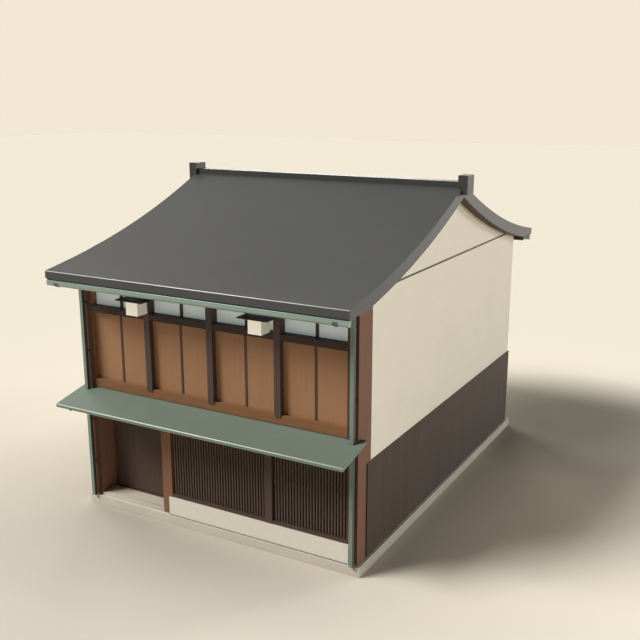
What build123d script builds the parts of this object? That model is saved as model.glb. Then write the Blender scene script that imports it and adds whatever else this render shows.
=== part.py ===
"""Machiya townhouse: a two-storey timber house between plain party walls.

Millimetres. X runs along the street front to the right, Y runs back into the plot, Z is up.
The origin is on the ground, under the middle of the foundation slab.
"""
import os

from build123d import *

# Foundation and ground floor
slab_width = 6000
slab_depth = 8120
slab_height = 185
slab_bevel = 8
floor_thickness = 50
floor_front_setback = 55

# Party walls and rear wall
slab_side_margin = 80
wall_thickness = 200
front_setback = 60
rear_setback = 120
wing_length = 480
wing_proud = 6
wainscot_height = 1740
wainscot_thickness = 25
wainscot_bevel = 12
wainscot_lap = 150
gable_base_over_eave = 30
gable_thickness = 120
gable_batten_height = 32
gable_batten_proud = 10

# Ground-floor front
plinth_height = 355
plinth_setback = 25
plinth_reach = 55
plinth_lap = 65
post_face = 50
front_post_depth = 150
entrance_width = 1542
entrance_post_width = 215
lattice_post_width = 155
lattice_left_width = 2058
lattice_sill_height = 70
lattice_sill_setback = 58
lattice_sill_depth = 120
lattice_pitch = 60
lattice_bar_width = 28
lattice_bar_depth = 38
lattice_setback = 88
lattice_rail_depth = 22
lattice_rail_height = 40
lattice_rail_gap = 700
lattice_halving = 1
lattice_glass_setback = 170
glass_thickness = 6
front_opening_height = 1985
head_beam_height = 180
head_beam_setback = 60

# Entrance recess and its sliding door
recess_depth = 400
side_panel_thickness = 40
threshold_height = 20
threshold_depth = 96
door_thickness = 36
door_height = 1785
door_lap = 45
door_clearance = 5
door_travel = 1450
guide_thickness = 18
guide_lap = 30

# Canopy between the storeys
canopy_overhang = 690
canopy_over_opening = 100
canopy_rise = 174
canopy_thickness = 60
canopy_back = 140
canopy_side_reach = 120
canopy_bevel = 10
rafter_width = 45
rafter_depth = 52
rafter_end_inset = 300
rafter_nose_setback = 48
rafter_count = 5

# Upper-storey front
sill_height = 166
sill_setback = 66
beam_depth = 140
post_width = 125
post_pitch = 1390
post_count = 3
post_foot_lap = 40
panel_height = 1320
rail_height = 115
rail_setback = 58
panel_setback = 155
panel_thickness = 24
seam_width = 42
seam_thickness = 10
transom_setback = 222
transom_height = 480
mullion_width = 42
mullion_depth = 45
upper_floor_thickness = 150
upper_floor_below_sill = 50

# Rear windows
rear_window_width = 1300
rear_window_height = 900
rear_window_sill = 690
rear_window_spacing = 2600
rear_frame_width = 50
rear_frame_depth = 90

# Roof
eave_overhang = 645
verge_overhang = 188
soffit_over_transom = 130
roof_rise = 1440
roof_sag = 185
roof_depth = 240
eave_depth = 145
eave_bevel = 14
rear_purlin_setback = 140
rear_purlin_width = 90
rear_purlin_depth = 68
rear_purlin_end_inset = 8

# Ridge
ridge_beam_width = 240
ridge_beam_rise = 60
ridge_beam_drop = 110
ridge_end_length = 191
ridge_end_width = 340
ridge_end_reach = 123
ridge_end_rise = 182
ridge_end_drop = 174

# Gutters and downpipes
gutter_width = 90
gutter_side_height = 57
gutter_wall = 3
gutter_inset = 45
gutter_drip_gap = 30
gutter_end_setback = 16
strap_width = 90
strap_thickness = 5
strap_drop = 35
pipe_size = 70
pipe_wall = 3
pipe_inset = 60
pipe_standoff = 50
pipe_foot_gap = 6
pipe_hole_clearance = 6
neck_size = 60

# Lanterns
lantern_size = 265
lantern_over_rail = 13
lantern_left_offset = -97
lantern_right_offset = -260
cap_width = 590
cap_front_lip = 90
cap_thickness = 22

# Places worked out from the sizes above
half_slab = slab_width / 2
front = -slab_depth / 2
rear = slab_depth / 2
half_house = half_slab - slab_side_margin
inner_x = half_house - wall_thickness
wing_front = front + front_setback
wing_back = wing_front + wing_length
wall_rear = rear - rear_setback
wall_rear_inner = wall_rear - wall_thickness
floor_top = slab_height + floor_thickness
plinth_top = slab_height + plinth_height
head_beam_bottom = slab_height + front_opening_height
head_beam_top = head_beam_bottom + head_beam_height
entrance_post_x0 = -inner_x + entrance_width
entrance_post_x1 = entrance_post_x0 + entrance_post_width
lattice_post_x0 = entrance_post_x1 + lattice_left_width
lattice_post_x1 = lattice_post_x0 + lattice_post_width
canopy_front_top = head_beam_bottom + canopy_over_opening
sill_bottom = canopy_front_top + canopy_rise
sill_top = sill_bottom + sill_height
rail_bottom = sill_top + panel_height
rail_top = rail_bottom + rail_height
transom_top = rail_top + transom_height
upper_floor_top = sill_top - upper_floor_below_sill
upper_floor_bottom = upper_floor_top - upper_floor_thickness
rear_window_bottom = upper_floor_top + rear_window_sill
half_roof = half_house + verge_overhang
eave_y = rear + eave_overhang
soffit = transom_top + soffit_over_transom
eave_top = soffit + eave_depth
ridge_top = eave_top + roof_rise
gable_base = eave_top + gable_base_over_eave
above_all = ridge_top + ridge_end_rise


def block(x_limits, y_limits, z_limits):
    """A box given by its limits along X, Y and Z."""
    size = [b - a for a, b in (x_limits, y_limits, z_limits)]
    middle = [(a + b) / 2 for a, b in (x_limits, y_limits, z_limits)]
    return Pos(*middle) * Box(*size)


def side_prism(outline, x_limits):
    """A prism along X from an outline of (y, z) points."""
    face = make_face(Polyline(*outline, close=True))
    return Pos(x_limits[0], 0, 0) * extrude(Plane.YZ * face, x_limits[1] - x_limits[0])


def mirrored(shape):
    """The same piece on the other side of the house."""
    return mirror(shape, about=Plane.YZ)


def solids_of(*shapes):
    """Several separate solids as one compound."""
    return Compound(children=[s for shape in shapes for s in shape.solids()])


# Roof: each slope sags along an arc from the eave up to the ridge

def slope_curve(drop):
    """The front slope's arc in (y, z), lowered by drop, from eave to ridge."""
    middle = (-eave_y / 2, (eave_top + ridge_top) / 2 - roof_sag - drop)
    return ThreePointArc((-eave_y, eave_top - drop), middle, (0, ridge_top - drop))


def roof_slope():
    upper = slope_curve(0)
    lower = slope_curve(roof_depth)
    edges = [upper, Line(upper @ 1, lower @ 1), lower, Line(lower @ 0, upper @ 0)]
    slope = Pos(-half_roof, 0, 0) * extrude(Plane.YZ * make_face(edges), 2 * half_roof)
    slope -= block((-half_roof, half_roof), (-eave_y, 0), (soffit - roof_depth, soffit))
    eave_edge = slope.edges().filter_by(Axis.X).group_by(Axis.Y)[0].sort_by(Axis.Z)[-1]
    return chamfer(eave_edge, eave_bevel)


def space_under_roof():
    """Everything below the underside of both slopes, down to the ground."""
    lower = slope_curve(roof_depth)
    foot = [Line(lower @ 1, (0, 0)), Line((0, 0), (-eave_y, 0)), Line((-eave_y, 0), lower @ 0)]
    half = extrude(Plane.YZ * make_face([lower, *foot]), 2 * half_roof)
    half = Pos(-half_roof, 0, 0) * half
    half += block((-half_roof, half_roof), (-eave_y, 0), (0, soffit))
    return half + mirror(half, about=Plane.XZ)


front_roof = roof_slope()
rear_roof = mirror(front_roof, about=Plane.XZ)
under_roof = space_under_roof()

half_ridge = half_roof + ridge_end_reach
ridge_beam = block(
    (-half_ridge + ridge_end_length, half_ridge - ridge_end_length),
    (-ridge_beam_width / 2, ridge_beam_width / 2),
    (ridge_top - ridge_beam_drop, ridge_top + ridge_beam_rise),
) - front_roof - rear_roof
ridge_end = block(
    (half_ridge - ridge_end_length, half_ridge),
    (-ridge_end_width / 2, ridge_end_width / 2),
    (ridge_top - ridge_end_drop, ridge_top + ridge_end_rise),
) - front_roof - rear_roof

rear_purlin_y = wall_rear + rear_purlin_setback
rear_purlin_x = half_roof - rear_purlin_end_inset
rear_purlin = block(
    (-rear_purlin_x, rear_purlin_x),
    (rear_purlin_y, rear_purlin_y + rear_purlin_width),
    (soffit - rear_purlin_depth, soffit),
)

# Foundation and floors

foundation = block((-half_slab, half_slab), (front, rear), (0, slab_height))
foundation = chamfer(foundation.edges().group_by(Axis.Z)[-1], slab_bevel)
entrance_post = block(
    (entrance_post_x0, entrance_post_x1),
    (front + post_face, front + post_face + front_post_depth),
    (slab_height, head_beam_bottom),
)
ground_floor = block(
    (-inner_x, inner_x), (front + floor_front_setback, wall_rear_inner), (slab_height, floor_top)
) - entrance_post
upper_floor = block(
    (-inner_x, inner_x),
    (front + transom_setback, wall_rear_inner),
    (upper_floor_bottom, upper_floor_top),
)

# Party walls: timber wing at the street end, plaster behind it, boarding below

wing_wall = block(
    (inner_x, half_house + wing_proud), (wing_front, wing_back), (slab_height, above_all)
) & under_roof
plaster_wall = block(
    (inner_x, half_house), (wing_back, wall_rear), (slab_height, gable_base)
) & under_roof
gable = block(
    (half_house - gable_thickness, half_house), (wing_back, wall_rear), (gable_base, above_all)
) & under_roof
gable_batten = block(
    (half_house, half_house + gable_batten_proud),
    (wing_back, wall_rear),
    (gable_base - gable_batten_height / 2, gable_base + gable_batten_height / 2),
) & under_roof
wainscot_top = slab_height + wainscot_height
outer_x = half_house + wainscot_thickness
side_wainscot = block(
    (half_house, outer_x), (wing_back - wainscot_lap, wall_rear), (slab_height, wainscot_top)
)
top_edge = side_wainscot.edges().filter_by(Axis.Y).group_by(Axis.X)[-1].sort_by(Axis.Z)[-1]
side_wainscot = chamfer(top_edge, wainscot_bevel) - wing_wall

# Rear wall with two upper windows

rear_wall = block(
    (-inner_x, inner_x), (wall_rear_inner, wall_rear), (slab_height, above_all)
) & under_roof
rear_wainscot = block(
    (-outer_x, outer_x), (wall_rear, wall_rear + wainscot_thickness), (slab_height, wainscot_top)
)
rear_top_edge = rear_wainscot.edges().filter_by(Axis.X).group_by(Axis.Y)[-1].sort_by(Axis.Z)[-1]
rear_wainscot = chamfer(rear_top_edge, wainscot_bevel)
rear_frames = []
rear_panes = []
for centre in (-rear_window_spacing / 2, rear_window_spacing / 2):
    x_limits = (centre - rear_window_width / 2, centre + rear_window_width / 2)
    z_limits = (rear_window_bottom, rear_window_bottom + rear_window_height)
    frame_back = wall_rear - rear_frame_depth
    rear_wall -= block(x_limits, (wall_rear_inner, wall_rear), z_limits)
    frame = block(x_limits, (frame_back, wall_rear), z_limits)
    glass_back = frame_back + rear_frame_depth / 2
    for x0, x1 in (
        (x_limits[0] + rear_frame_width, centre - rear_frame_width / 2),
        (centre + rear_frame_width / 2, x_limits[1] - rear_frame_width),
    ):
        light_z = (z_limits[0] + rear_frame_width, z_limits[1] - rear_frame_width)
        frame -= block((x0, x1), (frame_back, wall_rear), light_z)
        rear_panes.append(block((x0, x1), (glass_back, glass_back + glass_thickness), light_z))
    rear_frames.append(frame)

# Ground-floor front: plinth, posts, lattice bays and the beam over them

plinth = block(
    (entrance_post_x1 - plinth_lap, inner_x + plinth_reach),
    (front + plinth_setback, front + post_face + front_post_depth),
    (slab_height, plinth_top),
) - wing_wall - ground_floor - entrance_post
head_beam = block(
    (-inner_x, inner_x),
    (front + head_beam_setback, front + head_beam_setback + beam_depth),
    (head_beam_bottom, head_beam_top),
)
lattice_post = block(
    (lattice_post_x0, lattice_post_x1),
    (front + post_face, front + post_face + front_post_depth),
    (plinth_top, head_beam_bottom),
)
lattice_z0 = plinth_top + lattice_sill_height
lattice_bays = {
    "lattice_left": (entrance_post_x1, lattice_post_x0),
    "lattice_right": (lattice_post_x1, inner_x),
}
sill_y = (front + lattice_sill_setback, front + lattice_sill_setback + lattice_sill_depth)
lattice_sills = [block(bay, sill_y, (plinth_top, lattice_z0)) for bay in lattice_bays.values()]


def lattice(bay):
    """Upright bars of one bay, let into slim rails behind them."""
    x0, x1 = bay
    y0 = front + lattice_setback
    bars_back = y0 + lattice_bar_depth
    rail_y = (bars_back - lattice_halving, bars_back + lattice_rail_depth)
    count = int((x1 - x0) // lattice_pitch)
    step = (x1 - x0) / (count + 1)
    pieces = []
    for i in range(1, count + 1):
        middle = x0 + i * step
        limits = (middle - lattice_bar_width / 2, middle + lattice_bar_width / 2)
        pieces.append(block(limits, (y0, bars_back), (lattice_z0, head_beam_bottom)))
    top = head_beam_bottom - lattice_rail_height
    for z in (lattice_z0, lattice_z0 + lattice_rail_gap, top):
        pieces.append(block(bay, rail_y, (z, z + lattice_rail_height)))
    return pieces[0].fuse(*pieces[1:])


lattice_glass = [
    block(
        bay,
        (front + lattice_glass_setback, front + lattice_glass_setback + glass_thickness),
        (lattice_z0, head_beam_bottom),
    )
    for bay in lattice_bays.values()
]

# Entrance recess: threshold, head board with two guide strips, side panel, sliding door

door_y0 = front + front_setback + recess_depth
door_y1 = door_y0 + door_thickness
door_middle_y = (door_y0 + door_y1) / 2
threshold_top = floor_top + threshold_height
door_z0 = threshold_top + door_clearance
door_z1 = door_z0 + door_height
head_board_bottom = door_z1 + door_clearance
recess_x1 = entrance_post_x0 + side_panel_thickness
door_x0 = -inner_x + door_clearance
door_x1 = recess_x1 + door_lap
track_x1 = door_x1 + door_travel + door_lap
half_track = guide_thickness + door_clearance + door_thickness / 2
threshold = block(
    (-inner_x, track_x1),
    (door_middle_y - threshold_depth / 2, door_middle_y + threshold_depth / 2),
    (floor_top, threshold_top),
)
head_board = block(
    (-inner_x, track_x1),
    (door_middle_y - half_track, door_middle_y + half_track),
    (head_board_bottom, upper_floor_bottom),
)
guide_z = (head_board_bottom - guide_lap, head_board_bottom)
door_guides = [
    block((-inner_x, track_x1), (door_middle_y - half_track, door_y0 - door_clearance), guide_z),
    block((-inner_x, track_x1), (door_y1 + door_clearance, door_middle_y + half_track), guide_z),
]
side_panel = block(
    (entrance_post_x0, recess_x1),
    (front + post_face + front_post_depth, door_middle_y - half_track),
    (floor_top, upper_floor_bottom),
) - threshold
entrance_door = block((door_x0, door_x1), (door_y0, door_y1), (door_z0, door_z1))

# Gutters: a deep half round under each eave, closed at both ends, with a broad strap at each pipe

outlet_y = -eave_y + gutter_inset
gutter_rim = soffit - gutter_drip_gap
gutter_spring = gutter_rim - gutter_side_height
pipe_centre_x = half_house - pipe_inset


def gutter_section(width, inset):
    """A half-round trough in (y, z), open at the rim, shrunk by inset."""
    radius = width / 2 - inset
    left = outlet_y - radius
    right = outlet_y + radius
    return make_face([
        Line((left, gutter_rim), (left, gutter_spring)),
        ThreePointArc(
            (left, gutter_spring), (outlet_y, gutter_spring - radius), (right, gutter_spring)
        ),
        Line((right, gutter_spring), (right, gutter_rim)),
        Line((right, gutter_rim), (left, gutter_rim)),
    ])


def along_x(face, x_limits):
    return Pos(x_limits[0], 0, 0) * extrude(Plane.YZ * face, x_limits[1] - x_limits[0])


half_gutter = half_roof - gutter_end_setback
gutter_outer = along_x(gutter_section(gutter_width, 0), (-half_gutter, half_gutter))
gutter_hollow = along_x(
    gutter_section(gutter_width, gutter_wall), (-half_gutter + gutter_wall, half_gutter - gutter_wall)
)
front_gutter = gutter_outer - gutter_hollow
rear_gutter = mirror(front_gutter, about=Plane.XZ)
strap_outer = along_x(
    gutter_section(gutter_width + 2 * strap_thickness, 0),
    (pipe_centre_x - strap_width / 2, pipe_centre_x + strap_width / 2),
)
over_strap = block(
    (pipe_centre_x - strap_width, pipe_centre_x + strap_width),
    (outlet_y - gutter_width, outlet_y + gutter_width),
    (gutter_rim - strap_drop, soffit),
)
strap = strap_outer - gutter_outer - over_strap
straps = [strap, mirrored(strap)]
straps += [mirror(piece, about=Plane.XZ) for piece in straps]

# Downpipes: square tubes down the wing fronts, with a neck back from the gutter's strap

pipe_back = wing_front - pipe_standoff
pipe_front = pipe_back - pipe_size
pipe_foot = slab_height + pipe_foot_gap
pipe_x = (pipe_centre_x - pipe_size / 2, pipe_centre_x + pipe_size / 2)
pipe_outer = block(pipe_x, (pipe_front, pipe_back), (pipe_foot, gutter_spring))
pipe_bore = block(
    (pipe_x[0] + pipe_wall, pipe_x[1] - pipe_wall),
    (pipe_front + pipe_wall, pipe_back - pipe_wall),
    (pipe_foot, gutter_spring - pipe_wall),
)
neck_outer = block(
    (pipe_centre_x - neck_size / 2, pipe_centre_x + neck_size / 2),
    (outlet_y, pipe_front),
    (gutter_spring - neck_size, gutter_spring),
)
neck_bore = block(
    (pipe_centre_x - neck_size / 2 + pipe_wall, pipe_centre_x + neck_size / 2 - pipe_wall),
    (outlet_y, pipe_front + pipe_wall),
    (gutter_spring - neck_size + pipe_wall, gutter_spring - pipe_wall),
)
downpipe = pipe_outer + neck_outer - pipe_bore - neck_bore - strap_outer

# Canopy between the storeys, notched round the wing walls and pierced by the downpipes

canopy_front_y = front - canopy_overhang
canopy_back_y = front + canopy_back
half_canopy = half_house + canopy_side_reach
canopy_slope = canopy_rise / (canopy_back_y - canopy_front_y)


def canopy_layer(y_limits, drop, depth, x_limits):
    """A sloping layer, its top lying drop below the canopy's upper face."""
    tops = [canopy_front_top + (y - canopy_front_y) * canopy_slope - drop for y in y_limits]
    outline = [(y_limits[0], tops[0]), (y_limits[1], tops[1])]
    outline += [(y_limits[1], tops[1] - depth), (y_limits[0], tops[0] - depth)]
    return side_prism(outline, x_limits)


canopy = canopy_layer(
    (canopy_front_y, canopy_back_y), 0, canopy_thickness, (-half_canopy, half_canopy)
)
lip = canopy.edges().filter_by(Axis.X).group_by(Axis.Y)[0].sort_by(Axis.Z)[-1]
canopy = chamfer(lip, canopy_bevel)
pipe_hole = block(
    (pipe_x[0] - pipe_hole_clearance, pipe_x[1] + pipe_hole_clearance),
    (pipe_front - pipe_hole_clearance, pipe_back + pipe_hole_clearance),
    (canopy_front_top - canopy_thickness, sill_bottom),
)
canopy = canopy - wing_wall - mirrored(wing_wall) - pipe_hole - mirrored(pipe_hole)
rafters = []
outer_rafter_x = half_canopy - rafter_end_inset
for i in range(rafter_count):
    middle = outer_rafter_x * (2 * i / (rafter_count - 1) - 1)
    rafters.append(canopy_layer(
        (canopy_front_y + rafter_nose_setback, front + head_beam_setback),
        canopy_thickness,
        rafter_depth,
        (middle - rafter_width / 2, middle + rafter_width / 2),
    ) - wing_wall - mirrored(wing_wall))

# Upper front: sill beam, posts, rail, boarded panels below and glazed transoms above

sill_beam = block(
    (-inner_x, inner_x),
    (front + sill_setback, front + sill_setback + beam_depth),
    (sill_bottom, sill_top),
)
post_y = (front + post_face, front + transom_setback + glass_thickness)
post_centres = [(i - (post_count - 1) / 2) * post_pitch for i in range(post_count)]
posts = [
    block((x - post_width / 2, x + post_width / 2), post_y, (sill_top - post_foot_lap, transom_top))
    - sill_beam
    for x in post_centres
]
rail_y = (front + rail_setback, front + transom_setback + glass_thickness)
rail_pieces = block((-inner_x, inner_x), rail_y, (rail_bottom, rail_top))
upper_head_beam = block((-inner_x, inner_x), rail_y, (transom_top, above_all)) & under_roof
bay_edges = [-inner_x] + [x + s * post_width / 2 for x in post_centres for s in (-1, 1)] + [inner_x]
bays = list(zip(bay_edges[::2], bay_edges[1::2]))
panel_y = (front + panel_setback, front + panel_setback + panel_thickness)
seam_y = (panel_y[0] - seam_thickness, panel_y[0])
mullion_y = (front + transom_setback - mullion_depth, front + transom_setback)
transom_y = (front + transom_setback, front + transom_setback + glass_thickness)
panels = []
seams = []
mullions = []
transom_panes = []
for x0, x1 in bays:
    middle = (x0 + x1) / 2
    panels.append(block((x0, x1), panel_y, (sill_top, rail_bottom)))
    seam_x = (middle - seam_width / 2, middle + seam_width / 2)
    seams.append(block(seam_x, seam_y, (sill_top, rail_bottom)))
    mullion_x = (middle - mullion_width / 2, middle + mullion_width / 2)
    mullions.append(block(mullion_x, mullion_y, (rail_top, transom_top)))
    transom_panes.append(block((x0, x1), transom_y, (rail_top, transom_top)))
rail = rail_pieces - posts[0]
for post in posts[1:]:
    rail -= post

# Lanterns: a translucent box under a flat cap that is fixed to the post beside it


def lantern(x):
    """The closed box and its cap."""
    back = front + post_face
    half = lantern_size / 2
    lantern_bottom = rail_top + lantern_over_rail
    top = lantern_bottom + lantern_size
    box = block((x - half, x + half), (back - lantern_size, back), (lantern_bottom, top))
    cap = block(
        (x - cap_width / 2, x + cap_width / 2),
        (back - lantern_size - cap_front_lip, back),
        (top, top + cap_thickness),
    )
    return box, cap


left_lantern, left_cap = lantern(post_centres[0] + lantern_left_offset)
right_lantern, right_cap = lantern(post_centres[-1] + lantern_right_offset)

nodes = {
    "foundation_slab": foundation,
    "ground_floor": ground_floor,
    "upper_floor": upper_floor,
    "right_wall": plaster_wall,
    "left_wall": mirrored(plaster_wall),
    "right_gable": gable,
    "left_gable": mirrored(gable),
    "gable_battens": solids_of(gable_batten, mirrored(gable_batten)),
    "right_wing_wall": wing_wall,
    "left_wing_wall": mirrored(wing_wall),
    "right_wainscot": side_wainscot,
    "left_wainscot": mirrored(side_wainscot),
    "rear_wall": rear_wall,
    "rear_wainscot": rear_wainscot,
    "rear_window_frames": solids_of(*rear_frames),
    "rear_window_glass": solids_of(*rear_panes),
    "plinth_wall": plinth,
    "entrance_post": entrance_post,
    "lattice_post": lattice_post,
    "lattice_sills": solids_of(*lattice_sills),
    "lattice_glass": solids_of(*lattice_glass),
    "ground_head_beam": head_beam,
    "door_threshold": threshold,
    "door_head_board": head_board,
    "door_guides": solids_of(*door_guides),
    "entrance_side_panel": side_panel,
    "entrance_door": entrance_door,
    "canopy": canopy,
    "canopy_rafters": solids_of(*rafters),
    "upper_sill_beam": sill_beam,
    "upper_posts": solids_of(*posts),
    "upper_rail": rail,
    "upper_head_beam": upper_head_beam,
    "upper_panels": solids_of(*panels),
    "panel_battens": solids_of(*seams),
    "transom_mullions": solids_of(*mullions),
    "transom_glass": solids_of(*transom_panes),
    "front_roof": front_roof,
    "rear_roof": rear_roof,
    "rear_purlin": rear_purlin,
    "ridge_beam": ridge_beam,
    "ridge_ends": solids_of(ridge_end, mirrored(ridge_end)),
    "front_gutter": front_gutter,
    "rear_gutter": rear_gutter,
    "gutter_straps": solids_of(*straps),
    "right_downpipe": downpipe,
    "left_downpipe": mirrored(downpipe),
    "lantern_boxes": solids_of(left_lantern, right_lantern),
    "lantern_caps": solids_of(left_cap, right_cap),
}
for name, bay in lattice_bays.items():
    nodes[name] = lattice(bay)

os.makedirs("parts", exist_ok=True)
for name, shape in nodes.items():
    export_step(shape, f"parts/{name}.step")
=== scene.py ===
from math import cos, pi, radians, sin

import bpy
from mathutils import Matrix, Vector


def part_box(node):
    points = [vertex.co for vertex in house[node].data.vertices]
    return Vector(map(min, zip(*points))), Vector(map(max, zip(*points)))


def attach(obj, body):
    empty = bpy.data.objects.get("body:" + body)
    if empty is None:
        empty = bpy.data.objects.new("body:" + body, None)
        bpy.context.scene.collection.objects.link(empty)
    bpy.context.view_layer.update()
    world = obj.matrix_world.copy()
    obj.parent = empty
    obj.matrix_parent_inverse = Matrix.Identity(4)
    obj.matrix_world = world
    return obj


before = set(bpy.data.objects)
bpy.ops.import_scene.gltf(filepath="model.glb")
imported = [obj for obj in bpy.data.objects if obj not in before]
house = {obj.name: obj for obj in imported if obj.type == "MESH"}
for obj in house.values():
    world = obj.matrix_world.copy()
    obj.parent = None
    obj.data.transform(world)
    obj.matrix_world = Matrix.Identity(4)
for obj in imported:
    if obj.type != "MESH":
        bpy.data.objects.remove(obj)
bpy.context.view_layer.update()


# Foundation slab
# A concrete raft cast under the whole house and left bare round its rim.
# The face is float finished, a pale warm grey with sand showing, and darker where rain splashes it.
# Its right side is painted darker, a painted shade.

def paint_colour(red, green, blue):
    """A colour as on a paint chart, 0 to 255, in the shader's own linear scale."""
    chart = [part / 255 for part in (red, green, blue)]
    linear = [part / 12.92 if part <= 0.04045 else ((part + 0.055) / 1.055) ** 2.4 for part in chart]
    return (*linear, 1)


def new_finish(name, roughness, shine=0.5):
    """An empty finish: its material, nodes, links, shader and coordinates fixed to the house."""
    finish = bpy.data.materials.new(name)
    finish.use_nodes = True
    nodes, links = finish.node_tree.nodes, finish.node_tree.links
    shader = nodes["Principled BSDF"]
    shader.inputs["Roughness"].default_value = roughness
    shader.inputs["Specular IOR Level"].default_value = shine
    return finish, nodes, links, shader, nodes.new("ShaderNodeTexCoord").outputs["Object"]


def cloudy(nodes, links, place, per_metre, detail=3.0):
    """Soft noise with so many patches to the metre along X, Y and Z."""
    stretch = nodes.new("ShaderNodeMapping")
    stretch.inputs["Scale"].default_value = per_metre
    noise = nodes.new("ShaderNodeTexNoise")
    noise.inputs["Scale"].default_value = 1
    noise.inputs["Detail"].default_value = detail
    links.new(place, stretch.inputs["Vector"])
    links.new(stretch.outputs["Vector"], noise.inputs["Vector"])
    return noise.outputs["Fac"]


def spread(nodes, links, value, low, high, to_low, to_high):
    """Takes a value from one range to another, held inside it."""
    remap = nodes.new("ShaderNodeMapRange")
    for socket, number in zip(("From Min", "From Max", "To Min", "To Max"), (low, high, to_low, to_high)):
        remap.inputs[socket].default_value = number
    links.new(value, remap.inputs["Value"])
    return remap.outputs["Result"]


def worked(nodes, links, operation, first, second):
    """One step of arithmetic on a value with a number or another value."""
    step = nodes.new("ShaderNodeMath")
    step.operation = operation
    links.new(first, step.inputs[0])
    if isinstance(second, (int, float)):
        step.inputs[1].default_value = second
    else:
        links.new(second, step.inputs[1])
    return step.outputs["Value"]


def shaded(nodes, links, colour, factor):
    """The colour, lighter or darker by a factor that changes over the surface."""
    shade = nodes.new("ShaderNodeVectorMath")
    shade.operation = "SCALE"
    if isinstance(colour, tuple):
        shade.inputs["Vector"].default_value = colour[:3]
    else:
        links.new(colour, shade.inputs["Vector"])
    links.new(factor, shade.inputs["Scale"])
    return shade.outputs["Vector"]


def relief(nodes, links, shader, height, depth):
    """Raises the surface by height times depth, in metres."""
    bump = nodes.new("ShaderNodeBump")
    bump.inputs["Strength"].default_value = 1
    bump.inputs["Distance"].default_value = depth
    links.new(height, bump.inputs["Height"])
    links.new(bump.outputs["Normal"], shader.inputs["Normal"])


def part_along(nodes, links, vector, axis):
    """What a place or a direction measures along one axis."""
    axes = nodes.new("ShaderNodeSeparateXYZ")
    links.new(vector, axes.inputs["Vector"])
    return axes.outputs[axis]


def by_outlook(nodes, links, axis, low, high, to_low, to_high):
    """A value that follows how far a face looks along an axis."""
    outlook = nodes.new("ShaderNodeNewGeometry").outputs["Normal"]
    return spread(nodes, links, part_along(nodes, links, outlook, axis), low, high, to_low, to_high)


def by_facing(finish, axis, low, high, to_low, to_high):
    """Paints light or shade into a finish: lighter or darker on the faces that look one way along an axis.
    """
    nodes, links = finish.node_tree.nodes, finish.node_tree.links
    base = nodes["Principled BSDF"].inputs["Base Color"]
    factor = by_outlook(nodes, links, axis, low, high, to_low, to_high)
    links.new(shaded(nodes, links, base.links[0].from_socket, factor), base)


def dress(finish, *names):
    """Gives a finish to pieces of the frame."""
    for name in names:
        for slot in house[name].material_slots:
            slot.material = finish


def cast_finish(name, colour, grit_depth):
    """Concrete or screed: slow clouding, fine sand and a damp foot."""
    finish, nodes, links, shader, place = new_finish(name, 0.85, 0.3)
    clouds = spread(nodes, links, cloudy(nodes, links, place, (1.6, 1.6, 2.4)), 0.3, 0.7, 0.96, 1.04)
    sand = cloudy(nodes, links, place, (160, 160, 160), 2)
    grains = spread(nodes, links, sand, 0.3, 0.7, 0.97, 1.03)
    damp_height = 0.06
    damp = spread(nodes, links, part_along(nodes, links, place, "Z"), 0, damp_height, 0.9, 1)
    factor = worked(nodes, links, "MULTIPLY", worked(nodes, links, "MULTIPLY", clouds, grains), damp)
    links.new(shaded(nodes, links, colour, factor), shader.inputs["Base Color"])
    relief(nodes, links, shader, sand, grit_depth)
    return finish


bare_concrete = cast_finish("bare_concrete", paint_colour(221, 213, 195), 0.0012)
# painted shade: the faces that look to the right are painted darker
by_facing(bare_concrete, "X", 0.5, 0.9, 1, 0.76)
dress(bare_concrete, "foundation_slab")


# Entrance floor, its edging and the boarded floor upstairs
# The ground floor is a trowelled screed, with a dressed stone edging set flush at the entrance.
# Upstairs the floor is plain planed boards, laid along the street.

dress(cast_finish("trowelled_screed", paint_colour(216, 206, 188), 0.0005), "ground_floor")


def eased_board(name, low, high, ease):
    """A straight piece between two corners, with all its edges eased."""
    bpy.ops.object.select_all(action="DESELECT")
    middle = [(a + b) / 2 for a, b in zip(low, high)]
    bpy.ops.mesh.primitive_cube_add(size=1, location=middle, scale=[b - a for a, b in zip(low, high)])
    board = bpy.context.object
    board.name = board.data.name = name
    bpy.ops.object.transform_apply(location=True, rotation=True, scale=True)
    bpy.ops.object.mode_set(mode="EDIT")
    bpy.ops.mesh.select_all(action="SELECT")
    bpy.ops.mesh.bevel(offset=ease, segments=2, affect="EDGES")
    bpy.ops.object.mode_set(mode="OBJECT")
    return board


def fit_up(piece, finish, body="house"):
    """Gives a new piece its finish, smooth faces and the body that carries it."""
    bpy.ops.object.select_all(action="DESELECT")
    piece.select_set(True)
    bpy.context.view_layer.objects.active = piece
    bpy.ops.object.shade_smooth_by_angle(angle=radians(35))
    piece.data.materials.clear()
    piece.data.materials.append(finish)
    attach(piece, body)


def set_again(piece, name, shift):
    """One more of a piece, with its own mesh, moved to its place."""
    bpy.ops.object.select_all(action="DESELECT")
    piece.select_set(True)
    bpy.context.view_layer.objects.active = piece
    bpy.ops.object.duplicate()
    again = bpy.context.object
    again.name = again.data.name = name
    bpy.ops.transform.translate(value=shift)
    bpy.ops.object.transform_apply(location=True, rotation=True, scale=True)
    return again


screed_low, screed_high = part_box("ground_floor")
post_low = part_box("entrance_post")[0]
edging_gap = 0.003
edging_proud = 0.003
edging_lift = 0.001
edging_depth = 0.12
edging = eased_board(
    "entrance_edging",
    (screed_low[0] + edging_gap, screed_low[1] - edging_proud, screed_low[2] + edging_lift),
    (post_low[0] - edging_gap, screed_low[1] + edging_depth, screed_high[2] + edging_lift),
    0.002,
)
fit_up(edging, cast_finish("dressed_stone", paint_colour(214, 205, 187), 0.0006))


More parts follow.
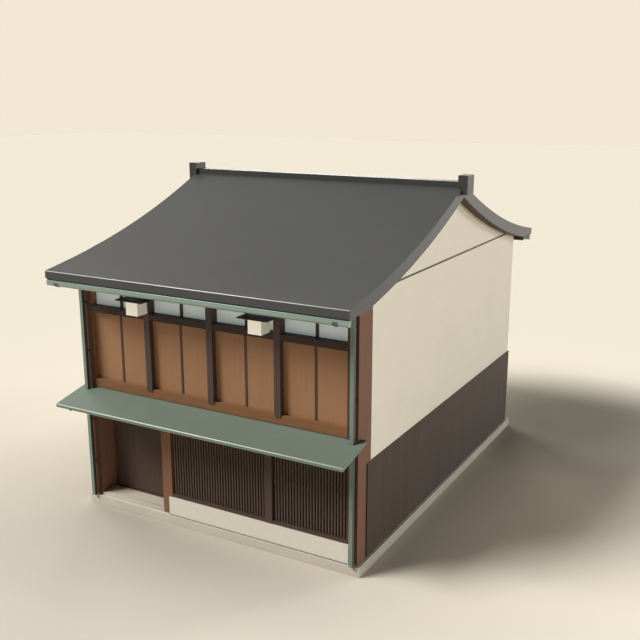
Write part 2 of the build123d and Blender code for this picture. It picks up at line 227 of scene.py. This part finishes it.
def board_marks(nodes, links, place, across, width):
    """Joints between boards laid side by side: the joint's height, and a shade for each board."""
    half_joint = 0.003
    count = worked(nodes, links, "DIVIDE", part_along(nodes, links, place, across), width)
    part = worked(nodes, links, "FRACT", count, 0)
    to_joint = worked(nodes, links, "ABSOLUTE", worked(nodes, links, "SUBTRACT", part, 0.5), 0)
    joint = spread(nodes, links, to_joint, 0.5 - half_joint / width, 0.5, 1, 0)
    each = nodes.new("ShaderNodeTexWhiteNoise")
    each.noise_dimensions = "1D"
    links.new(worked(nodes, links, "FLOOR", count, 0), each.inputs["W"])
    return joint, spread(nodes, links, each.outputs["Value"], 0, 1, 0.95, 1.05)


def timber_finish(name, colour, run, roughness=0.6, boards=None, streak=0.1, shine=0.2):
    """Stained timber with its grain along run. boards gives the axis across them and their width."""
    finish, nodes, links, shader, place = new_finish(name, roughness, shine)
    grain_along, grain_across = 0.9, 26
    pores_along, pores_across = 12, 320
    grain_scale = [grain_along if axis == run else grain_across for axis in "XYZ"]
    pore_scale = [pores_along if axis == run else pores_across for axis in "XYZ"]
    grain = cloudy(nodes, links, place, grain_scale)
    streaks = spread(nodes, links, grain, 0.25, 0.75, 1 - streak, 1 + streak)
    pores = cloudy(nodes, links, place, pore_scale, 2)
    fine = spread(nodes, links, pores, 0.3, 0.7, 1 - streak / 2, 1 + streak / 2)
    factor = worked(nodes, links, "MULTIPLY", streaks, fine)
    height = pores
    if boards:
        joint, each = board_marks(nodes, links, place, *boards)
        factor = worked(nodes, links, "MULTIPLY", factor, each)
        factor = worked(nodes, links, "MULTIPLY", factor, spread(nodes, links, joint, 0, 1, 0.55, 1))
        height = worked(nodes, links, "ADD", worked(nodes, links, "MULTIPLY", pores, 0.2), joint)
    links.new(shaded(nodes, links, colour, factor), shader.inputs["Base Color"])
    relief(nodes, links, shader, height, 0.002 if boards else 0.0004)
    return finish


dress(timber_finish("floor_planks", paint_colour(150, 120, 92), "X", boards=("Y", 0.12)), "upper_floor")


# Plastered party walls, gables, rear wall and plinth
# Clay walls with a finish coat of cream lime plaster, pressed smooth with a steel trowel.
# The trowel leaves slow clouding and low ripples. A grey strip along the foot of the plinth paints the
# shadow line there.

def plaster_finish(name, colour):
    """Lime plaster: slow clouding, the sweep of the trowel and fine sand."""
    finish, nodes, links, shader, place = new_finish(name, 0.9, 0.2)
    clouds = spread(nodes, links, cloudy(nodes, links, place, (1.1, 1.1, 1.4)), 0.3, 0.7, 0.985, 1.015)
    trowel = cloudy(nodes, links, place, (9, 9, 14), 3)
    sweep = spread(nodes, links, trowel, 0.3, 0.7, 0.99, 1.01)
    sand = cloudy(nodes, links, place, (240, 240, 240), 1)
    factor = worked(nodes, links, "MULTIPLY", clouds, sweep)
    links.new(shaded(nodes, links, colour, factor), shader.inputs["Base Color"])
    height = worked(nodes, links, "ADD", trowel, worked(nodes, links, "MULTIPLY", sand, 0.12))
    relief(nodes, links, shader, height, 0.0014)
    return finish


wall_plaster = plaster_finish("cream_lime_plaster", paint_colour(245, 237, 218))
dress(wall_plaster, "right_wall", "left_wall", "right_gable", "left_gable", "rear_wall")
dress(plaster_finish("plinth_lime_plaster", paint_colour(244, 237, 220)), "plinth_wall")
plinth_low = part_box("plinth_wall")[0]
strip_proud = 0.016
strip_height = 0.009
strip_lap = 0.05
# painted shadow: a grey strip at the plinth's foot stands in for the shadow line under it
foot_strip = eased_board(
    "plinth_foot_strip",
    (plinth_low[0] + 0.002, plinth_low[1] - strip_proud, plinth_low[2] - 0.0005),
    (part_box("right_wing_wall")[0][0] + strip_lap, plinth_low[1] + 0.001, plinth_low[2] + strip_height),
    0.002,
)
fit_up(foot_strip, cast_finish("lead_grey_strip", paint_colour(112, 104, 90), 0.0003))


# Timber wings, entrance post and sill beam
# The street ends of the party walls, the entrance post and the beam over the canopy are one timber,
# stained red-brown. The wings and post stand with upright grain, the beam lies.
# Both street faces are painted darker as shade. The left wing is a lighter copy of the stain, painted light
# in the recess.

wing_stain_painted_shade = timber_finish("red_stain_wing", paint_colour(125, 91, 72), "Z", 0.8)
# painted shade: the street face is painted darker
by_facing(wing_stain_painted_shade, "Y", -0.9, -0.6, 0.6, 1)
dress(wing_stain_painted_shade, "right_wing_wall")
# painted light: a lighter copy of the wing stain for the face inside the recess; its street face is painted
# darker as shade
left_wing_lit_and_shaded = timber_finish("red_stain_sheltered", paint_colour(152, 112, 89), "Z", 0.8)
by_facing(left_wing_lit_and_shaded, "Y", -0.9, -0.6, 0.42, 1)
dress(left_wing_lit_and_shaded, "left_wing_wall")
dress(timber_finish("red_stain_post", paint_colour(144, 105, 82), "Z"), "entrance_post")
dress(timber_finish("red_stain_lying", paint_colour(144, 103, 71), "X"), "upper_sill_beam")


# Wainscot
# Upright boards, scorched and oiled dark against rain, nailed over the foot of the plaster walls.
# Each board is a little different in shade, with a shallow joint to the next.

scorched = paint_colour(73, 62, 53)
board_width = 0.182
side_boards = timber_finish("scorched_boards_side", scorched, "Z", 0.7, ("Y", board_width), 0.08)
rear_boards = timber_finish("scorched_boards_rear", scorched, "Z", 0.7, ("X", board_width), 0.08)
dress(side_boards, "right_wainscot", "left_wainscot")
dress(rear_boards, "rear_wainscot")


# Street frame downstairs
# Dark stained timber, planed and jointed: the post between the lattice bays, their two sills and
# the beam over the openings. The sills keep rain off the plinth.

dark_stain = paint_colour(86, 69, 62)
upright_dark = timber_finish("dark_stain_upright", paint_colour(91, 75, 68), "Z")
lying_dark = timber_finish("dark_stain_lying", dark_stain, "X")
deep_dark = timber_finish("dark_stain_deep", dark_stain, "Y")
dress(upright_dark, "lattice_post")
dress(lying_dark, "lattice_sills", "ground_head_beam")


# Lattice
# Slender bars, a little deeper than wide, let into three rails, with smoked glass behind them.
# The bars are planed smooth and stained a shade lighter than the post.

dress(timber_finish("lattice_stain", paint_colour(101, 84, 74), "Z", 0.55), "lattice_left", "lattice_right")


def glass_finish(name, colour, roughness, ripple, painted_daylight=0):
    """Sheet glass that isn't seen through: its tint, a low ripple, and a painted glow for the room's light
    behind it.
    """
    finish, nodes, links, shader, place = new_finish(name, roughness, 0.5)
    shader.inputs["Emission Color"].default_value = paint_colour(190, 203, 201)
    # painted light: the glass glows though nothing lights it
    shader.inputs["Emission Strength"].default_value = painted_daylight
    wave = cloudy(nodes, links, place, (5, 5, 5), 1)
    factor = spread(nodes, links, wave, 0.3, 0.7, 0.985, 1.015)
    links.new(shaded(nodes, links, colour, factor), shader.inputs["Base Color"])
    relief(nodes, links, shader, wave, ripple)
    return finish


dress(glass_finish("smoked_glass", paint_colour(30, 25, 23), 0.3, 0.0008), "lattice_glass")


# Entrance
# A dark sliding leaf of upright boards, over a brass strip on the threshold and between two guides
# under the head board. A flush metal pull is let into the leaf near its closing edge.

door_stain = paint_colour(89, 73, 63)
dress(lying_dark, "door_threshold", "door_head_board", "door_guides")
dress(timber_finish("entrance_panel_stain", door_stain, "Z", boards=("Y", 0.15)), "entrance_side_panel")
dress(timber_finish("door_stain", door_stain, "Z", boards=("X", 0.2), streak=0.035), "entrance_door")


def metal_finish(name, colour, roughness, patch=0.04, bare=0.0, grain=0.0003, shine=0.3):
    """Painted or weathered sheet metal: slow patches, and a faint dapple in its face."""
    finish, nodes, links, shader, place = new_finish(name, roughness, shine)
    shader.inputs["Metallic"].default_value = bare
    patches = cloudy(nodes, links, place, (2.2, 2.2, 2.2))
    dapple = cloudy(nodes, links, place, (28, 28, 28), 2)
    factor = worked(
        nodes, links, "MULTIPLY",
        spread(nodes, links, patches, 0.3, 0.7, 1 - patch, 1 + patch),
        spread(nodes, links, dapple, 0.3, 0.7, 1 - patch / 3, 1 + patch / 3),
    )
    links.new(shaded(nodes, links, colour, factor), shader.inputs["Base Color"])
    relief(nodes, links, shader, dapple, grain)
    return finish


sill_low, sill_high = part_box("door_threshold")
leaf_low, leaf_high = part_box("entrance_door")
leaf_middle = (leaf_low[1] + leaf_high[1]) / 2
rail_end_gap = 0.01
half_rail = 0.004
rail_height = 0.003
strip = eased_board(
    "door_rail",
    (sill_low[0] + rail_end_gap, leaf_middle - half_rail, sill_high[2]),
    (sill_high[0] - rail_end_gap, leaf_middle + half_rail, sill_high[2] + rail_height),
    0.001,
)
worn_brass = metal_finish("worn_brass", paint_colour(120, 98, 62), 0.4)
fit_up(strip, worn_brass)
pull_x, pull_z = leaf_low[0] + 0.055, leaf_low[2] + 0.93
half_pull = 0.016
half_pull_height = 0.06
pull_proud = 0.0025
pull = eased_board(
    "door_pull",
    (pull_x - half_pull, leaf_low[1] - pull_proud, pull_z - half_pull_height),
    (pull_x + half_pull, leaf_low[1] + 0.001, pull_z + half_pull_height),
    0.001,
)
bpy.ops.object.mode_set(mode="EDIT")
bpy.ops.mesh.select_all(action="DESELECT")
bpy.ops.object.mode_set(mode="OBJECT")
front_face = min(pull.data.polygons, key=lambda face: (round(face.center.y, 5), -face.area))
front_face.select = True
bpy.ops.object.mode_set(mode="EDIT")
bpy.ops.mesh.select_mode(type="FACE")
bpy.ops.mesh.inset(thickness=0.004)
bpy.ops.transform.translate(value=(0, 0.002, 0))
bpy.ops.object.mode_set(mode="OBJECT")
fit_up(pull, metal_finish("pull_bronze", paint_colour(70, 60, 48), 0.45), "door")


# Canopy between the storeys
# Copper sheet folded over a boarded frame, weathered to an even green, on five slender rafters.
# The sheets are lapped every 0.9 m. The rolled rim at the front is painted pale, a painted highlight.

def lapped_sheet(name, colour, roughness, shine, sheet_length, course, lap_depth):
    """Lapped sheet metal: a faint joint round every sheet and a shade for each course."""
    finish, nodes, links, shader, place = new_finish(name, roughness, shine)
    patches = spread(nodes, links, cloudy(nodes, links, place, (1.3, 1.3, 1.3)), 0.3, 0.7, 0.97, 1.03)
    laps = nodes.new("ShaderNodeTexBrick")
    laps.inputs["Scale"].default_value = 1
    laps.inputs["Brick Width"].default_value = sheet_length
    laps.inputs["Row Height"].default_value = course
    laps.inputs["Mortar Size"].default_value = 0.002
    laps.inputs["Mortar Smooth"].default_value = 0.3
    laps.inputs["Bias"].default_value = 0
    laps.inputs["Color1"].default_value = (0.985, 0.985, 0.985, 1)
    laps.inputs["Color2"].default_value = (1.015, 1.015, 1.015, 1)
    laps.inputs["Mortar"].default_value = (0.8, 0.8, 0.8, 1)
    links.new(place, laps.inputs["Vector"])
    factor = worked(nodes, links, "MULTIPLY", patches, laps.outputs["Color"])
    links.new(shaded(nodes, links, colour, factor), shader.inputs["Base Color"])
    relief(nodes, links, shader, spread(nodes, links, laps.outputs["Fac"], 0, 1, 1, 0), lap_depth)
    return finish, nodes, links, shader, place


canopy_green = lapped_sheet("canopy_green", paint_colour(125, 139, 125), 0.5, 0.15, 0.9, 2.0, 0.0006)[0]
dress(canopy_green, "canopy")
dress(deep_dark, "canopy_rafters")


def rolled_edge(name, x_from, x_to, y_middle, z_middle, radius):
    """A round bead along the street, its two ends rounded over."""
    bpy.ops.object.select_all(action="DESELECT")
    bpy.ops.mesh.primitive_cylinder_add(
        vertices=20, radius=radius, depth=x_to - x_from,
        location=((x_from + x_to) / 2, y_middle, z_middle), rotation=(0, pi / 2, 0),
    )
    bead = bpy.context.object
    bead.name = bead.data.name = name
    bpy.ops.object.transform_apply(location=True, rotation=True, scale=True)
    bpy.ops.object.mode_set(mode="EDIT")
    bpy.ops.mesh.select_all(action="DESELECT")
    bpy.ops.object.mode_set(mode="OBJECT")
    for face in bead.data.polygons:
        face.select = abs(face.normal.x) > 0.9
    bpy.ops.object.mode_set(mode="EDIT")
    bpy.ops.mesh.bevel(offset=0.4 * radius, segments=3, affect="EDGES")
    bpy.ops.object.mode_set(mode="OBJECT")
    return bead


canopy_low, canopy_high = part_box("canopy")
canopy_edge = 0.06
rim_radius = 0.011
rim_inset = 0.008
rim_end_gap = 0.002
rim = rolled_edge(
    "canopy_rim", canopy_low[0] + rim_end_gap, canopy_high[0] - rim_end_gap,
    canopy_low[1] + rim_inset, canopy_low[2] + canopy_edge - rim_inset, rim_radius,
)
# painted highlight: the rim's pale green stands in for the light it catches
fit_up(rim, metal_finish("canopy_rim_green", paint_colour(188, 200, 188), 0.35, bare=0.3))


# Street frame upstairs
# Dark stained posts, rail and head beam, with slim bars between the transom panes.
# A cover strip closes the joint between the two boards of each bay.

dress(upright_dark, "upper_posts", "panel_battens", "transom_mullions")
dress(lying_dark, "upper_head_beam")
# painted shade: the rail takes a darker copy of the stain for the eave's shadow over it
dress(timber_finish("dark_stain_rail", paint_colour(70, 56, 51), "X"), "upper_rail")


# Upper boarding
# Eight wide upright boards in the bays, planed and oiled a warm brown.
# Long straight grain with soft dark streaks.

dress(timber_finish("oiled_boards", paint_colour(176, 131, 97), "Z", 0.55, streak=0.05), "upper_panels")


# Transom panes
# Frosted sheet glass between the rail and the head beam, let into the frame.
# It shows pale blue-grey, hides the room and glows faintly with painted light.

frosted = glass_finish("frosted_glass", paint_colour(220, 227, 227), 0.35, 0.0004, 0.3)
dress(frosted, "transom_glass", "rear_window_glass")


# Rear windows
# Two pairs of frosted lights in dark frames, each pair with a dark sill board below.
# The sill is nailed to the wall and stands out to throw rain clear.

dress(upright_dark, "rear_window_frames")
wall_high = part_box("rear_wall")[1]
frames_low, frames_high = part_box("rear_window_frames")
window_width = 1.3
sill_reach = 0.04
sill_depth = 0.06
for side, middle in (
    ("left", frames_low[0] + window_width / 2),
    ("right", frames_high[0] - window_width / 2),
):
    board = eased_board(
        f"rear_sill_{side}",
        (middle - window_width / 2 - sill_reach, wall_high[1], frames_low[2] - 0.035),
        (middle + window_width / 2 + sill_reach, wall_high[1] + sill_depth, frames_low[2] - 0.005),
        0.003,
    )
    fit_up(board, lying_dark)


# Gable battens and rear purlin
# A dark strip covers the joint at the foot of each gable.
# The purlin carries the rear eave and shows its end at the verge.

dress(deep_dark, "gable_battens")
dress(lying_dark, "rear_purlin")


# Roof slopes
# Boards on rafters under dark grey sheet, laid in low courses and lapped, with a boarded soffit.
# The sheet is turned down over the eave and shows as one thick dark edge. It is painted darker towards the
# ridge, a painted shade.

def mixed(nodes, links, factor, first, second):
    """The first colour where the factor is 0, the second where it is 1."""
    factor_socket, first_socket, second_socket, result_socket = 0, 6, 7, 2
    mix = nodes.new("ShaderNodeMix")
    mix.data_type = "RGBA"
    links.new(factor, mix.inputs[factor_socket])
    for socket, colour in ((first_socket, first), (second_socket, second)):
        if isinstance(colour, tuple):
            mix.inputs[socket].default_value = colour
        else:
            links.new(colour, mix.inputs[socket])
    return mix.outputs[result_socket]


roof_low, roof_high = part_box("front_roof")
slate_grey, nodes, links, shader, place = lapped_sheet(
    "roof_sheet_grey", paint_colour(81, 82, 82), 0.6, 0.2, 1.2, 0.32, 0.0006
)
rise = part_along(nodes, links, place, "Z")
shade_start_z = roof_low[2] + 0.15
# painted shade: the sheet is painted darker from low on the slope up to the ridge
ridge_shade = spread(nodes, links, rise, shade_start_z, roof_high[2], 0.98, 0.83)
below = by_outlook(nodes, links, "Z", -0.35, -0.25, 1, 0)
soffit_joint, soffit_shade = board_marks(nodes, links, place, "Y", 0.11)
joint_shade = spread(nodes, links, soffit_joint, 0, 1, 0.5, 1)
soffit_factor = worked(nodes, links, "MULTIPLY", soffit_shade, joint_shade)
sheet_colour = shaded(nodes, links, shader.inputs["Base Color"].links[0].from_socket, ridge_shade)
soffit_colour = shaded(nodes, links, paint_colour(92, 76, 66), soffit_factor)
links.new(mixed(nodes, links, below, sheet_colour, soffit_colour), shader.inputs["Base Color"])
dress(slate_grey, "front_roof", "rear_roof")


# Eave nosing
# A rolled strip of bare sheet finishes the top edge of each eave; its pale colour is a painted highlight.
# It is soldered along the bevel of the roof edge.

nosing_radius = 0.009
# painted highlight: the nosing is painted far paler than the roof sheet
nosing_highlight = metal_finish("nosing_sheet", paint_colour(192, 193, 192), 0.32, bare=0.3)
eave_top = 4.8
for side, sign in (("front", 1), ("rear", -1)):
    nosing = rolled_edge(
        f"{side}_eave_nosing", roof_low[0], roof_high[0],
        sign * (roof_low[1] + nosing_radius), eave_top - nosing_radius, nosing_radius,
    )
    fit_up(nosing, nosing_highlight)


# Verge flashing
# A folded sheet closes the side of each slope from eave to ridge, nailed over the roof boards.
# It is a shade lighter than the slopes, which carry painted shade towards the ridge.

bpy.ops.object.select_all(action="DESELECT")
verge_sides = []
for name in ("front_roof", "rear_roof"):
    slope = house[name].copy()
    slope.data = house[name].data.copy()
    slope.parent = None
    bpy.context.collection.objects.link(slope)
    slope.select_set(True)
    verge_sides.append(slope)
verge = verge_sides[0]
bpy.context.view_layer.objects.active = verge
bpy.ops.object.join()
verge.name = verge.data.name = "verge_flashing"
bpy.ops.object.mode_set(mode="EDIT")
bpy.ops.mesh.select_all(action="SELECT")
bpy.ops.mesh.remove_doubles(threshold=0.0001)
bpy.ops.mesh.select_all(action="DESELECT")
bpy.ops.object.mode_set(mode="OBJECT")
for face in verge.data.polygons:
    face.select = abs(face.normal.x) < 0.9
bpy.ops.object.mode_set(mode="EDIT")
bpy.ops.mesh.delete(type="FACE")
bpy.ops.mesh.select_all(action="SELECT")
bpy.ops.mesh.dissolve_limited(angle_limit=radians(1))
bpy.ops.object.mode_set(mode="OBJECT")
fold = verge.modifiers.new("fold", "SOLIDIFY")
fold.thickness = 0.003
fold.offset = 1
bpy.ops.object.modifier_apply(modifier="fold")
fit_up(verge, metal_finish("verge_sheet_grey", paint_colour(81, 81, 80), 0.5))


# Eave rafters
# Square rafter tails under the soffit, nosed back behind the gutter, dark stained.
# The front ones die into the head beam, the rear ones into the purlin.

def set_all(first, finish, shifts):
    """Sets a piece again at each shift, numbered on from it, and fits them all up."""
    for count, shift in enumerate(shifts, 2):
        fit_up(set_again(first, first.name.replace("_1", f"_{count}"), shift), finish)
    fit_up(first, finish)


soffit_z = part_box("rear_purlin")[1][2]
beam_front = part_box("upper_head_beam")[0][1]
purlin_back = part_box("rear_purlin")[1][1]
gutter_low, gutter_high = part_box("front_gutter")
rafter_spacing = 0.455
half_rafter = 0.024
rafter_depth = 0.05
gutter_gap = 0.03
tail = eased_board(
    "front_eave_rafter_1",
    (-half_rafter, gutter_high[1] + gutter_gap, soffit_z - rafter_depth),
    (half_rafter, beam_front + 0.001, soffit_z + 0.001),
    0.003,
)
rear_tail = eased_board(
    "rear_eave_rafter_1",
    (-half_rafter, purlin_back - 0.001, soffit_z - rafter_depth),
    (half_rafter, -gutter_high[1] - gutter_gap, soffit_z + 0.001),
    0.003,
)
for model in (tail, rear_tail):
    rafter_shifts = [(step * rafter_spacing, 0, 0) for step in range(-6, 7) if step]
    set_all(model, deep_dark, rafter_shifts)


# Eave drips
# A narrow folded sheet hangs from the soffit just behind each eave and leads the rain into the gutter.
# It is the roof's dark sheet, hemmed at its foot.

drip_setback = 0.018
drip_thickness = 0.002
drip_end_gap = 0.006
drip_lap = 0.012
drip_sheet = metal_finish("drip_sheet_grey", paint_colour(66, 66, 63), 0.6)
for side, sign in (("front", 1), ("rear", -1)):
    outer_face = sign * (roof_low[1] + drip_setback)
    inner_face = sign * (roof_low[1] + drip_setback + drip_thickness)
    near_face, far_face = sorted((outer_face, inner_face))
    drip = eased_board(
        f"{side}_eave_drip",
        (gutter_low[0] + drip_end_gap, near_face, gutter_high[2] - drip_lap),
        (gutter_high[0] - drip_end_gap, far_face, soffit_z + 0.001),
        0.0006,
    )
    fit_up(drip, drip_sheet)


# Ridge
# A boxed ridge beam with a block at each end, all sheathed in the roof's dark sheet.
# The sheathing is folded at the corners and darker than the slopes; its right-facing faces are painted
# darker as shade.

ridge_grey = metal_finish("ridge_sheet_grey", paint_colour(64, 65, 62), 0.5)
# painted shade: faces that look to the right are painted darker
by_facing(ridge_grey, "X", 0.6, 0.9, 1, 0.8)
dress(ridge_grey, "ridge_beam", "ridge_ends")


# Gutters
# Deep half-round copper gutters, green with age, with a rolled bead along the outer rim.
# Each hangs from flat hangers nailed under the eave, with a dark strap near each end.

gutter_green = metal_finish("gutter_green", paint_colour(148, 169, 160), 0.35, 0.05, 0.35)
strap_green = metal_finish("strap_green", paint_colour(86, 98, 88), 0.5, 0.05)
dress(gutter_green, "front_gutter", "rear_gutter")
dress(strap_green, "gutter_straps")
bead_radius = 0.009
hanger_spacing = 0.95
hanger_shifts = [(step * hanger_spacing, 0, 0) for step in range(-3, 4) if step]
half_hanger = 0.01
for side, sign in (("front", 1), ("rear", -1)):
    bead = rolled_edge(
        f"{side}_gutter_bead", gutter_low[0], gutter_high[0],
        sign * (gutter_low[1] + bead_radius - 0.004), gutter_high[2] - 0.002, bead_radius,
    )
    fit_up(bead, gutter_green)
    back_y = sign * gutter_high[1]
    nail_low, nail_high = sorted((back_y - sign * 0.006, back_y - sign * 0.003))
    hanger = eased_board(
        f"{side}_gutter_hanger_1",
        (-half_hanger, nail_low, gutter_high[2] - 0.03),
        (half_hanger, nail_high, soffit_z + 0.001),
        0.0008,
    )
    set_all(hanger, strap_green, hanger_shifts)


# Downpipes
# Square tubes of the same green copper down the wing fronts, folded and seamed at the back.
# Small dark brackets hold each one off the timber. The sides are painted darker, a painted shade.

pipe_green = metal_finish("pipe_green", paint_colour(132, 146, 134), 0.5, 0.05)
# painted shade: both side faces of each pipe are painted darker
by_facing(pipe_green, "X", 0.6, 0.9, 1, 0.32)
by_facing(pipe_green, "X", -0.9, -0.6, 0.32, 1)
dress(pipe_green, "right_downpipe", "left_downpipe")
bracket_bronze = metal_finish("bracket_bronze", paint_colour(58, 48, 40), 0.6)
wing_face_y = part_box("right_wing_wall")[0][1]
pipe_low, pipe_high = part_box("right_downpipe")
pipe_middle = (pipe_low[0] + pipe_high[0]) / 2
pipe_standoff = 0.05
pipe_back = wing_face_y - pipe_standoff
lowest_bracket = 0.9
half_bracket = 0.014
bracket_height = 0.03
bracket = eased_board(
    "downpipe_bracket_1",
    (pipe_middle - half_bracket, pipe_back - 0.001, lowest_bracket),
    (pipe_middle + half_bracket, wing_face_y + 0.001, lowest_bracket + bracket_height),
    0.003,
)
to_left_pipe = -2 * pipe_middle
above_lowest = (0, 0.85, 2.25, 3.2)
bracket_shifts = [(x, 0, z) for x in (0, to_left_pipe) for z in above_lowest if x or z]
set_all(bracket, bracket_bronze, bracket_shifts)


# Lanterns
# A box of white paper pasted over thin laths, lit from inside, under a flat black sheet cap.
# Its glow is painted light, stronger on the street face than on the sides.
# Box and cap are hooked to the post beside them.

def paper_finish(name, colour, glow):
    """Paper with long fibres and a painted glow. glow is for the face to the street, then for the others.
    """
    finish, nodes, links, shader, place = new_finish(name, 0.8, 0.3)
    fibres = cloudy(nodes, links, place, (18, 18, 60), 4)
    factor = spread(nodes, links, fibres, 0.3, 0.7, 0.98, 1.02)
    links.new(shaded(nodes, links, colour, factor), shader.inputs["Base Color"])
    links.new(shaded(nodes, links, colour, factor), shader.inputs["Emission Color"])
    # painted light: the paper glows more on the face to the street than on the others
    painted_glow_by_side = by_outlook(nodes, links, "Y", -0.9, -0.6, *glow)
    links.new(painted_glow_by_side, shader.inputs["Emission Strength"])
    relief(nodes, links, shader, fibres, 0.0004)
    return finish


dress(paper_finish("lantern_paper", paint_colour(247, 240, 222), (0.44, 0.14)), "lantern_boxes")
dress(metal_finish("cap_black", paint_colour(34, 34, 35), 0.5), "lantern_caps")


# Floor and backdrop
# A wide pale floor that takes the shadow, and the same pale colour all round for the eye.
# To the eye it has soft pools of painted light and shade: dimmer before the entrance and behind the right
# wall, brighter between.
# It is painted darker close to the house, a painted contact shadow. The floor gives back less light to the
# house than it shows.

def by_eye(nodes, links):
    """1 for what the camera sees, straight, mirrored or through glass, and 0 for light that falls."""
    rays = nodes.new("ShaderNodeLightPath")
    seen = worked(nodes, links, "ADD", rays.outputs["Is Camera Ray"], rays.outputs["Is Glossy Ray"])
    return worked(nodes, links, "ADD", seen, rays.outputs["Is Transmission Ray"])


backdrop = paint_colour(242, 232, 213)
fill_light = 0.02
floor_width = 240
bpy.ops.object.select_all(action="DESELECT")
bpy.ops.mesh.primitive_plane_add(size=floor_width)
ground = bpy.context.object
ground.name = "studio_floor"
floor_paint, nodes, links, shader, place = new_finish("studio_floor_paint", 1, 0)
# painted light and shade: pools that dim and brighten the floor as seen
pools = None
for middle, inner, outer, level in (
    ((-3, -5.5, 0), 2, 10, 0.83),
    ((4.5, -4.2, 0), 1.2, 6.5, 1.15),
    ((4.2, 5.3, 0), 1, 3.8, 0.55),
):
    away = nodes.new("ShaderNodeVectorMath")
    away.operation = "DISTANCE"
    away.inputs[1].default_value = middle
    links.new(place, away.inputs[0])
    pool = spread(nodes, links, away.outputs["Value"], inner, outer, level, 1)
    pools = worked(nodes, links, "MULTIPLY", pools, pool) if pools else pool
lit_floor = paint_colour(228, 219, 203)
seen_floor = shaded(nodes, links, paint_colour(253, 243, 223), pools)
floor_colour = mixed(nodes, links, by_eye(nodes, links), lit_floor, seen_floor)
# painted shadow: the floor is darkened where the house stands near, both as seen and as lit
near = nodes.new("ShaderNodeAmbientOcclusion")
near.samples = 8
near.inputs["Distance"].default_value = 4
close = spread(nodes, links, near.outputs["AO"], 0.35, 1, 0.65, 1)
links.new(shaded(nodes, links, floor_colour, close), shader.inputs["Base Color"])
ground.data.materials.append(floor_paint)
world = bpy.data.worlds.new("studio")
bpy.context.scene.world = world
world.use_nodes = True
sky, sky_links = world.node_tree.nodes, world.node_tree.links
unseen_sky = (fill_light, fill_light, fill_light, 1)
sky_colour = mixed(sky, sky_links, by_eye(sky, sky_links), unseen_sky, backdrop)
sky_links.new(sky_colour, sky["Background"].inputs["Color"])


# Lamps
# Wide soft lamps: the main one from the front left, weaker ones from the left, back and right.
# Together they light a level face to about nine tenths, so that its colour shows nearly as written.

for name, turn, height, width, share in (
    ("main_lamp", 219, 43, 24, 0.63),
    ("high_back_lamp", 157, 45, 26, 0.14),
    ("low_left_lamp", 120, 9, 18, 0.045),
    ("low_back_lamp", 60, 8, 16, 0.06),
    ("low_side_lamp", 30, 4, 8, 0.016),
):
    level = cos(radians(height))
    towards = Vector((cos(radians(turn)) * level, sin(radians(turn)) * level, sin(radians(height))))
    bpy.ops.object.light_add(type="SUN", rotation=towards.to_track_quat("Z", "Y").to_euler())
    lamp = bpy.context.object
    lamp.name = name
    lamp.data.angle = radians(width)
    lamp.data.energy = pi * share / sin(radians(height))


# Camera
# It stands to the right of the street front, about 1.6 m above the ridge, and looks a little down.
# It has a 50 mm lens on a frame 36 mm wide.

camera_place = (8.970, -16.091, 7.960)
camera_turn = (radians(75.525), 0, radians(29.196))
bpy.ops.object.camera_add(location=camera_place, rotation=camera_turn)
camera = bpy.context.object
camera.data.lens = 50
camera.data.sensor_width = 36
bpy.context.scene.camera = camera
bpy.context.scene.view_settings.view_transform = "Standard"
